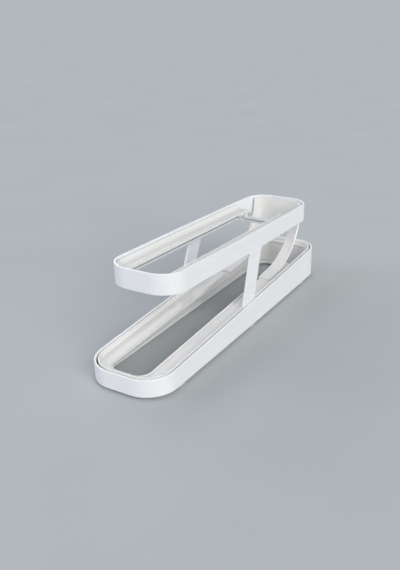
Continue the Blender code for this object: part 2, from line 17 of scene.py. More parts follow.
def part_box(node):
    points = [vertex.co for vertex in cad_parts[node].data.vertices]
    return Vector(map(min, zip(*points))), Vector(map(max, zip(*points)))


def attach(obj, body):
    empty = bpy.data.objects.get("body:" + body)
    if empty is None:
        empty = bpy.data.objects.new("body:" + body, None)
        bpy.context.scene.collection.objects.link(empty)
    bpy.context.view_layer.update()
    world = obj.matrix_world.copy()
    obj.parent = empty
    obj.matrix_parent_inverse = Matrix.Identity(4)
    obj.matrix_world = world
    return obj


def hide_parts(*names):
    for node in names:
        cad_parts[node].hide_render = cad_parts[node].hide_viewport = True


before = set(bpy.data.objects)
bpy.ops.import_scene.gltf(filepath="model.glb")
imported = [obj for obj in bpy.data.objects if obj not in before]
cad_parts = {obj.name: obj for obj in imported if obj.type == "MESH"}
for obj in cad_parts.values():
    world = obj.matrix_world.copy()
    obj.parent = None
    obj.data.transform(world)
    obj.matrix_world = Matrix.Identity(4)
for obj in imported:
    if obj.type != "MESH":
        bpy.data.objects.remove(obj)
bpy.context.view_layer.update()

bl_info = {
    "name": "Rolling Dispenser",
    "version": (1, 0, 0),
    "blender": (4, 5, 0),
    "location": "View3D > Sidebar > Dispenser",
    "description": "Builds the mouldings, finishes and studio of a two-tier rolling dispenser",
    "category": "Add Mesh",
}

BASE_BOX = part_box("base_shell")
TRAY_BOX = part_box("upper_track")
SLIDE_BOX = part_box("return_slide")
TRACK_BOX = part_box("lower_track")
FOOT_NODES = sorted(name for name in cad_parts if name.startswith("foot_"))

# Metres: points closer than the first count as one, and on the frame points closer than the second.
SAME_PLACE = 1e-6
SEAM_REACH = 1e-5
# Surfaces that meet at less than the soft turn are shaded as one. Edges beyond it are rounded on the
# frame's rims and the tie, and edges beyond the hard turn on the slide and the rest of the frame.
SOFT_TURN = math.radians(40)
HARD_TURN = math.radians(60)

# A moulding's outline seen from above, and a plane that slopes along its length.
Plan = namedtuple("Plan", "half_width front rear front_radius rear_radius bow")
Slope = namedtuple("Slope", "front rear at_front at_rear")


def length(name, description, default):
    """Property for a length in metres."""
    return FloatProperty(name=name, description=description, default=default, min=0.0,
                         precision=5, unit="LENGTH", subtype="DISTANCE")


def place(name, description, default):
    """Property for a place along an axis, in metres."""
    return FloatProperty(name=name, description=description, default=default, precision=5,
                         unit="LENGTH", subtype="DISTANCE")


def share(name, description, default):
    """Property for a share from 0 to 1."""
    return FloatProperty(name=name, description=description, default=default, min=0.0, max=1.0,
                         subtype="FACTOR")


def tint(name, description, default):
    """Property for a colour."""
    return FloatVectorProperty(name=name, description=description, default=default, size=3,
                               min=0.0, max=1.0, subtype="COLOR")


def strength(name, description, default):
    """Property for a light's strength."""
    return FloatProperty(name=name, description=description, default=default, min=0.0)


def angle(name, description, degrees):
    """Property for an angle."""
    return FloatProperty(name=name, description=description, default=math.radians(degrees),
                         subtype="ANGLE", unit="ROTATION")


def steps(name, description, default):
    """Property for a count of mesh steps."""
    return IntProperty(name=name, description=description, default=default, min=1)


class BaseSizes(PropertyGroup):
    """Sizes of the base, its feet and the lower track."""

    bow: length("Side bow", "How far the long sides bow out at their middle", 0.0009)
    front_radius: length("Front radius", "Corner radius of the front end", 0.030)
    rear_radius: length("Rear radius", "Corner radius of the rear end", 0.024)
    rim_at_front: length("Rim at front", "Height of the rim at the front end", 0.0206)
    rim_at_rear: length("Rim at rear", "Height of the rim at the rear end", BASE_BOX[1].z)
    wall: length("Wall", "Thickness of the base's wall", 0.0022)
    rim_round: length("Rim rounding", "Radius of the rims' rounded edges", 0.0008)
    flange_width: length("Flange width", "Reach of the flange inwards from the outside", 0.012)
    flange_thickness: length("Flange thickness", "Thickness of the flange", 0.0020)
    foot_corner: length("Foot corner", "Corner radius of a foot", 0.0022)
    foot_recess: length("Foot recess", "Depth of a foot's recess in the flange", 0.0006)
    groove: length("Groove", "Gap between the base's wall and the track's", 0.0015)
    track_wall: length("Track wall", "Thickness of the lower track's wall", 0.0020)
    skirt_wall: length("Skirt wall", "Thickness of that wall below the floor", 0.0018)
    seat_gap: length("Seat gap", "Clearance between pieces that stand on each other", 0.0003)
    floor_drop: length("Floor drop", "Depth of the track's floor below the rim", 0.0045)
    floor_thickness: length("Floor thickness", "Thickness of the track's floor", 0.0018)
    slot_half_width: length("Slot half width", "Half the width of the roll slots", 0.0205)
    slot_end_radius: length("Slot end radius", "Corner radius of the slots' front ends", 0.012)
    slot_front: place("Slot front", "Where the lower slot starts", -0.1669)
    rail_width: length("Rail width", "Width of the rails along the slots", 0.0016)
    rail_height: length("Rail height", "Height of the rails above the floor", 0.0010)
    rail_chamfer: length("Rail chamfer", "Bevel of the rails' edges", 0.0004)
    rail_end: place("Rail end", "Where the lower rails stop before the slide", 0.0603)
    opening_start: place("Opening start", "Where the rear opening starts", 0.114)
    opening_lip: length("Opening lip", "Floor left between the rear opening and the wall", 0.0014)
    opening_corner: length("Opening corner", "Front corner radius of the rear opening", 0.003)


class TierSizes(PropertyGroup):
    """Sizes of the upper frame, its track and the return slide."""

    bow: length("Side bow", "How far the band's long sides bow out at their middle", 0.0010)
    half_width: length("Half width", "Half the band's width where its sides don't bow", 0.0373)
    end_radius: length("End radius", "Corner radius of the band's ends", 0.025)
    front: place("Front", "Front end of the band", -0.1417)
    rear: place("Rear", "Rear end of the band", 0.1627)
    wall: length("Wall", "Thickness of the band", 0.0022)
    height: length("Band height", "Height of the band", 0.0203)
    front_rise: length("Front rise", "Height of the band's lower edge at the front", 0.088)
    rear_rise: length("Rear rise", "Height of the band's lower edge at the rear", 0.0767)
    rim_round: length("Rim rounding", "Radius of the band's rounded rim", 0.0008)
    edge_round: length("Edge rounding", "Radius of the lower and the struts' edges", 0.0005)
    ledge_width: length("Ledge width", "Reach of the ledge that carries the tray", 0.0032)
    ledge_thickness: length("Ledge thickness", "Thickness of that ledge", 0.0018)
    ledge_rise: length("Ledge rise", "Height of the ledge above the band's lower edge", 0.0006)
    ledge_bridge: length("Ledge bridge", "Length of the ledge's cross piece", 0.008)
    strut_foot: place("Strut foot", "Front edge of a strut at the base's rim", -0.0165)
    strut_width: length("Strut width", "Width of a strut along the tier", 0.0245)
    strut_lean: FloatProperty(name="Strut lean", description="Run of a strut to the rear per rise",
                              default=0.405)
    front_fillet: length("Front fillet", "Radius where a strut's front edge meets the band", 0.0045)
    rear_fillet: length("Rear fillet", "Radius where a strut's rear edge meets the band", 0.007)
    tongue_depth: length("Tongue depth", "Depth of a strut's tongue in the groove", 0.009)
    tongue_wall: length("Tongue wall", "Thickness of a strut's tongue", 0.0010)
    tray_gap: length("Tray gap", "Gap between the tray and the band", 0.0004)
    tray_drop: length("Tray drop", "Depth of the tray's rim below the band's", 0.0020)
    tray_rim: length("Tray rim", "Width of the tray's rim", 0.0016)
    tray_floor_drop: length("Tray floor drop", "Depth of the tray's floor below the band's rim", 0.0073)
    tray_wall: length("Tray wall", "Thickness of the tray", 0.0018)
    cove_reach: length("Cove reach", "Width of the tray's hollow side", 0.0063)
    tray_rear: place("Tray rear", "Open rear end of the tray", TRAY_BOX[1].y)
    tray_slot_front: place("Tray slot front", "Where the upper slot starts", -0.1292)
    bridge_depth: length("Bridge depth", "Depth of the tie below the tray's open end", 0.0068)
    bridge_length: length("Bridge length", "Length of that tie", 0.006)


class SlideSizes(PropertyGroup):
    """Sizes of the return slide."""

    half_width: length("Half width", "Half the slide's width", SLIDE_BOX[1].x)
    wall: length("Wall", "Thickness of the slide", 0.0018)
    front: place("Front", "Front end of the slide's strips", SLIDE_BOX[0].y)
    lift_off: place("Lift-off", "Where the slide starts to curve up", 0.084)
    frame_gap: length("Frame gap", "Gap between the slide and the band", 0.0012)
    top_drop: length("Top drop", "Depth of the slide's top edge below the band's rim", 0.0020)
    strip_width: length("Strip width", "Width of each strip beside the window", 0.014)
    window_drop: length("Window drop", "Depth of the window's arch below the band's rim", 0.025)
    tab_width: length("Tab width", "Width of the tabs under the strips", 0.005)
    tab_length: length("Tab length", "Length of the tabs", 0.008)
    tab_depth: length("Tab depth", "Depth of the tabs", 0.005)
    tab_setback: length("Tab setback", "Distance of the tabs from the strips' front end", 0.006)
    tab_margin: length("Tab margin", "Distance of the tabs from the slide's side", 0.003)
    edge_round: length("Edge rounding", "Radius of the slide's edges", 0.0005)
    feather_length: length("Feather length", "Length over which the strips thin at the front", 0.012)
    feather_wall: length("Feather wall", "Thickness of the strips' front end", 0.0007)


class MeshSteps(PropertyGroup):
    """Fineness of the meshes."""

    corner: steps("Corner steps", "Segments in a quarter turn of a plan", 18)
    side: steps("Side steps", "Cuts along a long side", 30)
    edge: steps("Edge steps", "Segments over a rounded edge", 4)


class Finishes(PropertyGroup):
    """Colours and surfaces of the plastics."""

    outer_colour: tint("Outer colour", "Colour of the base and the band", (0.824, 0.834, 0.846))
    outer_roughness: share("Outer roughness", "Roughness of the base and the band", 0.34)
    # Painted shade and bounce light: the tracks' colours are darker and warmer than the shell's white.
    track_colour_with_painted_shade: tint("Track colour", "Colour of the tracks and the slide", (0.785, 0.78, 0.765))
    track_roughness: share("Track roughness", "Roughness of the tracks and the slide", 0.30)
    foot_colour: tint("Foot colour", "Colour of the soft feet", (0.52, 0.56, 0.58))
    foot_roughness: share("Foot roughness", "Roughness of the soft feet", 0.42)
    outer_aged: tint("Aged outer", "Colour that the base and the band drift to", (0.755, 0.77, 0.78))
    # Also darker and warmer for painted shade and bounce light.
    track_aged: tint("Aged track", "Colour that the tracks drift to", (0.73, 0.72, 0.69))
    scuff_colour: tint("Scuffs", "Colour of scuffs on the base and the band", (0.62, 0.635, 0.645))
    wear: share("Wear", "How strong rub marks are", 0.45)
    grain_depth: length("Grain depth", "Depth of the moulded grain", 0.00013)


class StageSettings(PropertyGroup):
    """Floor, light and camera."""

    floor_colour: tint("Floor colour", "Colour of the floor", (0.49, 0.512, 0.517))
    floor_roughness: share("Floor roughness", "Roughness of the floor", 0.9)
    floor_radius: length("Floor radius", "Radius of the round floor", 40.0)
    sky_colour: tint("Sky colour", "Colour of the light from all round", (0.82, 0.90, 1.0))
    backdrop_colour: tint("Backdrop", "Colour seen beyond the floor", (0.448, 0.4785, 0.5045))
    sky_strength: strength("Sky strength", "Light from all round", 0.42)
    sun_colour: tint("Sun colour", "Colour of the key and the back sun", (1.0, 0.975, 0.945))
    fill_colour: tint("Fill colour", "Colour of the fill sun", (0.88, 0.865, 1.0))
    azimuth: angle("Azimuth", "Camera's turn from the front to the right", 32.102)
    elevation: angle("Elevation", "Camera's height angle", 23.495)
    roll: angle("Roll", "Camera's roll", -1.508)
    camera_place: FloatVectorProperty(name="Camera place", description="Where the camera stands",
                                      default=(0.34461, -0.58458, 0.33543), size=3,
                                      subtype="TRANSLATION", unit="LENGTH")
    focal: FloatProperty(name="Focal length", description="Camera's focal length, in millimetres",
                         default=43.1137)
    key: strength("Key", "Strength of the soft sun at the front right", 2.45)
    key_azimuth: angle("Key azimuth", "Turn of that sun from the front to the right", 60.0)
    key_elevation: angle("Key elevation", "Height angle of that sun", 28.0)
    back: strength("Back", "Strength of the soft sun at the rear left", 1.2)
    back_azimuth: angle("Back azimuth", "Turn of that sun from the front to the right", 236.0)
    back_elevation: angle("Back elevation", "Height angle of that sun", 16.0)
    fill: strength("Fill", "Strength of the soft sun at the front left", 1.45)
    fill_azimuth: angle("Fill azimuth", "Turn of that sun from the front to the right", -65.0)
    fill_elevation: angle("Fill elevation", "Height angle of that sun", 15.0)
    softness: angle("Softness", "Width of every sun, for soft shadows", 48.0)


def scene_groups(context, *names):
    """The scene's groups of sizes and colours, by their short names."""
    return [getattr(context.scene, "dispenser_" + name) for name in names]


def height(slope, y, rise=0.0):
    """Height of a sloping plane at y, moved up by rise."""
    along = (y - slope.front) / (slope.rear - slope.front)
    return slope.at_front + (slope.at_rear - slope.at_front) * along + rise


def gradient(slope):
    """Rise of a sloping plane per length, towards the rear."""
    return (slope.at_rear - slope.at_front) / (slope.rear - slope.front)


def level(z):
    """A plane that doesn't slope."""
    return Slope(0.0, 1.0, z, z)


def lay(verts, slope, rise=0.0):
    """Lays vertices on a sloping plane."""
    for vert in verts:
        vert.co.z = height(slope, vert.co.y, rise)


def only(kind, made):
    """Elements of one kind among an operator's results."""
    return [item for item in made if isinstance(item, kind)]


def edges_of(verts):
    """Edges that run between these vertices, in the same order each run."""
    chosen = set(verts)
    return list(dict.fromkeys(edge for vert in verts for edge in vert.link_edges
                              if edge.other_vert(vert) in chosen))


def edges_along(*loops):
    """Edges of several loops."""
    return [edge for loop in loops for edge in edges_of(loop)]


def extruded(bm, loop):
    """Extrudes a loop's edges; returns the new vertices."""
    return only(BMVert, bmesh.ops.extrude_edge_only(bm, edges=edges_of(loop))["geom"])


def pushed(bm, faces, vec):
    """Extrudes faces by a vector; returns what was made."""
    made = bmesh.ops.extrude_face_region(bm, geom=faces)["geom"]
    bmesh.ops.translate(bm, verts=only(BMVert, made), vec=vec)
    return made


def polygon(bm, points):
    """Flat face over corner points; returns its vertices."""
    verts = [bm.verts.new(point) for point in points]
    bm.faces.new(verts)
    return verts


def round_corners(bm, corners, reach, segments):
    """Rounds corners of a flat face, from reach away on both sides."""
    bmesh.ops.bevel(bm, geom=list(corners), offset=reach, offset_type="OFFSET", segments=segments,
                    profile=0.5, affect="VERTICES", material=-1)


def open_face(bm, before):
    """Leaves only the border of the face made since before; returns its vertices."""
    verts = [vert for vert in bm.verts if vert not in before]
    faces = dict.fromkeys(face for vert in verts for face in vert.link_faces)
    bmesh.ops.delete(bm, geom=list(faces), context="FACES_ONLY")
    return verts


def outline(bm, plan, fine):
    """Closed loop along a plan with round corners; returns its vertices.

    A plan that bows is the first in its bmesh, because its sides are subdivided.
    """
    before = set(bm.verts)
    half, front, rear = plan.half_width, plan.front, plan.rear
    corners = polygon(bm, ((half, front, 0), (half, rear, 0), (-half, rear, 0), (-half, front, 0)))
    round_corners(bm, (corners[0], corners[3]), plan.front_radius, fine.corner)
    round_corners(bm, (corners[1], corners[2]), plan.rear_radius, fine.corner)
    verts = open_face(bm, before)
    if plan.bow == 0:
        return verts
    middle = (front + rear) / 2
    sides = [edge for edge in edges_of(verts)
             if abs(edge.verts[0].co.x - edge.verts[1].co.x) < SAME_PLACE
             and (edge.verts[0].co.y - middle) * (edge.verts[1].co.y - middle) < 0]
    bmesh.ops.subdivide_edges(bm, edges=sides, cuts=fine.side)
    return bm.verts[:]


def small_outline(bm, centre, width, long, corner, segments):
    """Loop round a small rectangle with round corners; returns its vertices."""
    before = set(bm.verts)
    x, y = width / 2, long / 2
    corners = polygon(bm, ((x, -y, 0), (x, y, 0), (-x, y, 0), (-x, -y, 0)))
    round_corners(bm, corners, corner, segments)
    verts = open_face(bm, before)
    bmesh.ops.translate(bm, verts=verts, vec=centre)
    return verts


def foot_outline(bm, base, foot, z, gap, segments):
    """Loop round a foot's plan, with a gap, at a height; returns its vertices."""
    low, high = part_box(foot)
    return small_outline(bm, ((low.x + high.x) / 2, (low.y + high.y) / 2, z),
                         high.x - low.x + 2 * gap, high.y - low.y + 2 * gap,
                         base.foot_corner + gap, segments)


def move_in(verts, plan, amount):
    """Moves vertices on a plan's outline inwards, square to it."""
    for vert in verts:
        radius = plan.front_radius if vert.co.y < (plan.front + plan.rear) / 2 else plan.rear_radius
        reach = plan.half_width - radius
        centre = Vector((max(-reach, min(reach, vert.co.x)),
                         max(plan.front + plan.front_radius,
                             min(plan.rear - plan.rear_radius, vert.co.y)), vert.co.z))
        vert.co -= (vert.co - centre).normalized() * amount


def swell(plan, y):
    """Share of a plan's bow at y: 1 at the middle of its length, 0 at its ends."""
    middle, half_length = (plan.front + plan.rear) / 2, (plan.rear - plan.front) / 2
    return 1 - ((y - middle) / half_length) ** 2


def spread_out(verts, plan, wall, amount):
    """Moves vertices outwards by amount(y, z), in full from wall inside the plan and less further in."""
    for vert in verts:
        part = min(1.0, abs(vert.co.x) / (plan.half_width - wall))
        vert.co.x += math.copysign(part * amount(vert.co.y, vert.co.z), vert.co.x)


def bow_out(verts, plan, wall):
    """Bows the long sides outwards."""
    spread_out(verts, plan, wall, lambda y, z: plan.bow * swell(plan, y))


def sweep(bm, plan, section, fine, closed=False):
    """Extrudes a plan's outline through (inset, slope, rise) steps; returns the loops' vertices."""
    inset, slope, rise = section[0]
    verts = outline(bm, plan, fine)
    move_in(verts, plan, inset)
    lay(verts, slope, rise)
    loops = [verts]
    for next_inset, slope, rise in section[1:]:
        verts = extruded(bm, verts)
        move_in(verts, plan, next_inset - inset)
        lay(verts, slope, rise)
        inset = next_inset
        loops.append(verts)
    if closed:
        bmesh.ops.bridge_loops(bm, edges=edges_along(loops[0], loops[-1]))
    return loops


def soften(bm, edges, radius, segments):
    """Rounds edges."""
    bmesh.ops.bevel(bm, geom=list(edges), offset=radius, offset_type="OFFSET", segments=segments,
                    profile=0.5, affect="EDGES", material=-1, clamp_overlap=True)


def sharp_edges(bm, turn):
    """Edges whose faces meet at more than this turn."""
    bmesh.ops.recalc_face_normals(bm, faces=bm.faces)
    return [edge for edge in bm.edges if edge.is_manifold and edge.calc_face_angle(0.0) > turn]


def fill(bm, *loops):
    """Fills a flat area between an outer loop and its holes."""
    bmesh.ops.triangle_fill(bm, use_beauty=True, use_dissolve=False, edges=edges_along(*loops))


def slice_at(bm, point, normal, clear=False):
    """Cuts the mesh at a plane; with clear, what lies beyond goes and the cut is closed."""
    made = bmesh.ops.bisect_plane(bm, geom=bm.verts[:] + bm.edges[:] + bm.faces[:], dist=SAME_PLACE,
                                  plane_co=point, plane_no=normal, clear_outer=clear)["geom_cut"]
    if clear:
        bmesh.ops.edgeloop_fill(bm, edges=only(BMEdge, made))


def block(bm, low, high):
    """Rectangular block between two corners."""
    low, high = Vector(low), Vector(high)
    made = bmesh.ops.create_cube(bm, size=1.0)["verts"]
    bmesh.ops.scale(bm, verts=made, vec=high - low)
    bmesh.ops.translate(bm, verts=made, vec=(low + high) / 2)


def mesh_from(bm, name):
    """Mesh from a bmesh, which is freed."""
    mesh = bpy.data.meshes.new(name)
    bm.to_mesh(mesh)
    bm.free()
    return mesh


def new_object(name, data):
    """Object that holds this data, linked into the scene."""
    made = bpy.data.objects.new(name, data)
    bpy.context.scene.collection.objects.link(made)
    return made


def join(bm, other):
    """Adds another bmesh's shape and frees it."""
    carrier = mesh_from(other, "carrier")
    bm.from_mesh(carrier)
    bpy.data.meshes.remove(carrier)


def plastic_piece(name, bm, material):
    """Object from a bmesh, smooth on its round surfaces and flat on its flat ones."""
    bmesh.ops.remove_doubles(bm, verts=bm.verts, dist=SAME_PLACE)
    bmesh.ops.recalc_face_normals(bm, faces=bm.faces)
    mesh = mesh_from(bm, name)
    mesh.materials.append(material)
    mesh.shade_smooth()
    mesh.set_sharp_from_angle(angle=SOFT_TURN)
    piece = new_object(name, mesh)
    even = piece.modifiers.new("Even shading", "WEIGHTED_NORMAL")
    even.mode = "FACE_AREA"
    even.keep_sharp = True
    return piece


def set_in_frame(piece, body, slot, *nodes):
    """Rides the piece on its body in place of its CAD nodes."""
    if len(piece.data.polygons) == 0:
        raise RuntimeError("%s has no faces" % piece.name)
    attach(piece, body)
    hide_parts(*nodes)


def base_plan(base):
    """Plan of the base."""
    return Plan(BASE_BOX[1].x - base.bow, BASE_BOX[0].y, BASE_BOX[1].y,
                base.front_radius, base.rear_radius, base.bow)


def base_rim(base):
    """Plane of the base's rim."""
    return Slope(BASE_BOX[0].y, BASE_BOX[1].y, base.rim_at_front, base.rim_at_rear)


def band_plan(tier):
    """Plan of the upper band."""
    return Plan(tier.half_width, tier.front, tier.rear, tier.end_radius, tier.end_radius, tier.bow)


def band_edge(tier):
    """Plane of the band's lower edge."""
    return Slope(tier.front, tier.rear, tier.front_rise, tier.rear_rise)


def slot_rails(base, plane, floor, bottom):
    """Section steps over a rail, from its foot on the floor down the slot's side."""
    width, rise, bevel = base.rail_width, base.rail_height, base.rail_chamfer
    return [(-width, plane, floor), (bevel / 2 - width, plane, floor + rise - bevel),
            (bevel * 1.5 - width, plane, floor + rise), (-bevel, plane, floor + rise),
            (-bevel / 4, plane, floor + rise - bevel / 2), (0.0, plane, floor + rise - bevel * 1.5),
            (0.0, plane, bottom)]


def tab_middle(slide, side):
    """Where a tab of the slide stands in plan."""
    return (side * (slide.half_width - slide.tab_margin - slide.tab_width / 2),
            slide.front + slide.tab_setback + slide.tab_length / 2)


def shader_group(name, inputs, result, result_kind):
    """New node group that reads a position; returns it, its input sockets and its result's socket."""
    group = bpy.data.node_groups.new(name, "ShaderNodeTree")
    for label, kind, default in (("Position", "Vector", None), *inputs):
        socket = group.interface.new_socket(name=label, in_out="INPUT", socket_type="NodeSocket" + kind)
        if default is not None:
            socket.default_value = default
    group.interface.new_socket(name=result, in_out="OUTPUT", socket_type="NodeSocket" + result_kind)
    entry, leave = group.nodes.new("NodeGroupInput"), group.nodes.new("NodeGroupOutput")
    return group, entry.outputs, leave.inputs[0]


def plug(tree, made, sockets):
    """Links a node's inputs or sets their values; returns its outputs."""
    for name, value in sockets.items():
        if isinstance(value, bpy.types.NodeSocket):
            tree.links.new(value, made.inputs[name])
        else:
            made.inputs[name].default_value = value
    return made.outputs


def node(tree, kind, sockets, **settings):
    """New shader node with its settings and inputs; returns its outputs."""
    made = tree.nodes.new("ShaderNode" + kind)
    for name, value in settings.items():
        setattr(made, name, value)
    return plug(tree, made, sockets)


def maths(tree, operation, *values, clamp=False):
    """Works out one or two values; returns the result."""
    return node(tree, "Math", dict(enumerate(values)), operation=operation, use_clamp=clamp)[0]


def noise(tree, position, scale, detail, **more):
    """Noise over a position; returns its value."""
    return node(tree, "TexNoise", {"Vector": position, "Scale": scale, "Detail": detail, **more})[0]


def drawn_noise(tree, position, fineness, detail, turn=0.0, distortion=0.0):
    """Noise with its own fineness along each axis, turned about Z; returns its value."""
    laid = node(tree, "Mapping", {"Vector": position, "Rotation": (0.0, 0.0, turn),
                                  "Scale": fineness})[0]
    return noise(tree, laid, 1.0, detail, Distortion=distortion)


def spread(tree, value, low, high, to_low=0.0, to_high=1.0):
    """Spreads a range of values over another, smoothly and held at its ends."""
    return node(tree, "MapRange", {"Value": value, 1: low, 2: high, 3: to_low, 4: to_high},
                interpolation_type="SMOOTHSTEP")[0]


def blend(tree, amount, first, second):
    """Mixes two colours."""
    return node(tree, "Mix", {0: amount, 6: first, 7: second}, data_type="RGBA")[2]


def tone_drift(name):
    """Group that drifts a colour slowly over a moulding, with faint flow lines along it."""
    group, entry, result = shader_group(name, (
        ("Colour", "Color", None), ("Aged colour", "Color", None), ("Amount", "Float", 0.3)),
        "Colour", "Color")
    slow = noise(group, entry["Position"], 21.0, 3.0, Roughness=0.55)
    flow = drawn_noise(group, entry["Position"], (60.0, 9.0, 190.0), 4.0, distortion=0.6)
    drift = maths(group, "ADD", spread(group, slow, 0.32, 0.7), spread(group, flow, 0.42, 0.74))
    part = maths(group, "MULTIPLY", drift, entry["Amount"], clamp=True)
    group.links.new(blend(group, part, entry["Colour"], entry["Aged colour"]), result)
    return group


def mould_grain(name):
    """Group for the fine grain and the faint waves of a moulded surface."""
    group, entry, result = shader_group(name, (
        ("Grain scale", "Float", 2300.0), ("Wave share", "Float", 0.4)), "Height", "Float")
    grain = noise(group, entry["Position"], entry["Grain scale"], 2.0)
    waves = noise(group, entry["Position"], 75.0, 1.0)
    mixed = node(group, "Mix", {0: entry["Wave share"], 2: grain, 3: waves}, data_type="FLOAT")[0]
    group.links.new(mixed, result)
    return group


def rub_marks(name):
    """Group for fine scratches along the moulding and dull patches from handling."""
    group, entry, result = shader_group(name, (("Amount", "Float", 0.5),), "Mask", "Float")
    position = entry["Position"]
    scratches = maths(group, "MAXIMUM", *[
        spread(group, drawn_noise(group, position, (fine, long, fine), 1.0, turn), 0.68, 0.74)
        for turn, long, fine in ((0.10, 45.0, 3600.0), (-0.24, 70.0, 5200.0))])
    patches = noise(group, position, 38.0, 5.0, Roughness=0.62)
    dull = maths(group, "MULTIPLY", spread(group, patches, 0.47, 0.72), 0.7)
    worn = maths(group, "MULTIPLY", scratches, spread(group, patches, 0.38, 0.6))
    both = maths(group, "MAXIMUM", dull, worn)
    group.links.new(maths(group, "MULTIPLY", both, entry["Amount"], clamp=True), result)
    return group


EFFECTS = {"Tone drift": tone_drift, "Mould grain": mould_grain, "Rub marks": rub_marks}


def placed(tree, name, position, sockets):
    """Places the effect of this name, made the first time it is asked for; returns its result."""
    made = tree.nodes.new("ShaderNodeGroup")
    made.node_tree = bpy.data.node_groups.get(name) or EFFECTS[name](name)
    return plug(tree, made, {"Position": position, **sockets})[0]


def rgba(colour, factor=1.0):
    """Colour with alpha, scaled."""
    return (colour[0] * factor, colour[1] * factor, colour[2] * factor, 1.0)


def surface(name):
    """New material; returns it with its tree, shader and object position."""
    made = bpy.data.materials.new(name)
    made.use_nodes = True
    tree = made.node_tree
    shader = tree.nodes["Principled BSDF"]
    return made, tree, shader, node(tree, "TexCoord", {})["Object"]


def grain_normal(tree, position, sockets, power, depth):
    """Normal of a surface with the moulded grain."""
    grain = placed(tree, "Mould grain", position, sockets)
    return node(tree, "Bump", {"Height": grain, "Strength": power, "Distance": depth})[0]


def satin(tree, shader, position, colour, roughness, marks, depth):
    """Sets up a satin moulding: constant coat and depth, marks that roughen it, and the grain."""
    plug(tree, shader, {
        "IOR": 1.5, "Coat Weight": 0.12, "Coat Roughness": 0.18,
        "Subsurface Weight": 0.10, "Subsurface Radius": (1.0, 0.95, 0.9), "Subsurface Scale": 0.0012,
        "Base Color": colour,
        "Roughness": spread(tree, marks, 0.0, 1.0, roughness, min(1.0, roughness + 0.26)),
        "Normal": grain_normal(tree, position, {}, 0.8, depth)})


def outer_plastic(context, name):
    """Cool white satin plastic of the base and the upper frame."""
    look = context.scene.dispenser_finishes
    made, tree, shader, position = surface(name)
    marks = placed(tree, "Rub marks", position, {"Amount": look.wear})
    tone = placed(tree, "Tone drift", position, {"Colour": rgba(look.outer_colour),
                                                 "Aged colour": rgba(look.outer_aged)})
    scuffed = blend(tree, spread(tree, marks, 0.0, 1.0, 0.0, 0.35), tone, rgba(look.scuff_colour))
    satin(tree, shader, position, scuffed, look.outer_roughness, marks, look.grain_depth)
    return made


def track_plastic(context, name):
    """Warmer white plastic of the tracks and the slide, polished along the rails."""
    look, base = scene_groups(context, "finishes", "base")
    made, tree, shader, position = surface(name)
    marks = placed(tree, "Rub marks", position, {"Amount": look.wear})
    # The track colour is darker and warmer for painted shade and painted warm bounce light.
    tone = placed(tree, "Tone drift", position, {"Colour": rgba(look.track_colour_with_painted_shade), "Amount": 0.4,
                                                 "Aged colour": rgba(look.track_aged)})
    across = maths(tree, "ABSOLUTE", node(tree, "SeparateXYZ", {0: position})["X"])
    rail_middle = base.slot_half_width + base.rail_width / 2
    off = maths(tree, "ABSOLUTE", maths(tree, "SUBTRACT", across, rail_middle))
    streaks = drawn_noise(tree, position, (700.0, 11.0, 700.0), 3.0)
    rolled = maths(tree, "MULTIPLY", spread(tree, off, 0.0, 3 * base.rail_width, 1.0, 0.0),
                   spread(tree, streaks, 0.35, 0.7, 0.35, 1.0))
    polished = blend(tree, spread(tree, rolled, 0.0, 1.0, 0.0, 0.45), tone,
                     rgba(look.track_aged, 0.96))
    left = maths(tree, "SUBTRACT", marks, maths(tree, "MULTIPLY", rolled, 0.8), clamp=True)
    satin(tree, shader, position, polished, look.track_roughness, left, look.grain_depth)
    return made


def pad_rubber(context, name):
    """Milky soft pad, greyer near the ground."""
    look = context.scene.dispenser_finishes
    made, tree, shader, position = surface(name)
    tone = placed(tree, "Tone drift", position, {"Colour": rgba(look.foot_colour),
                                                 "Aged colour": rgba(look.foot_colour, 0.86)})
    # Darker and mottled within 1.6 mm of the ground, and rougher there.
    rise = node(tree, "SeparateXYZ", {0: position})["Z"]
    ground_speckle = noise(tree, position, 900.0, 4.0)
    near_ground_mask = maths(tree, "MULTIPLY", spread(tree, rise, 0.0, 0.0016, 0.5, 0.0),
                 spread(tree, ground_speckle, 0.2, 0.8))
    grain = {"Grain scale": 2600.0, "Wave share": 0.3}
    plug(tree, shader, {
        "IOR": 1.42,
        "Subsurface Weight": 0.45, "Subsurface Radius": (1.0, 1.0, 1.0), "Subsurface Scale": 0.003,
        "Base Color": blend(tree, near_ground_mask, tone, rgba(look.foot_colour, 0.72)),
        "Roughness": spread(tree, near_ground_mask, 0.0, 1.0, look.foot_roughness, 0.8),
        "Normal": grain_normal(tree, position, grain, 0.4, 0.00006)})
    return made


FINISHES = {"Outer plastic": outer_plastic, "Track plastic": track_plastic, "Pad rubber": pad_rubber}


def finish_named(context, name):
    """Finish of this name, made the first time it is asked for."""
    return bpy.data.materials.get(name) or FINISHES[name](context, name)


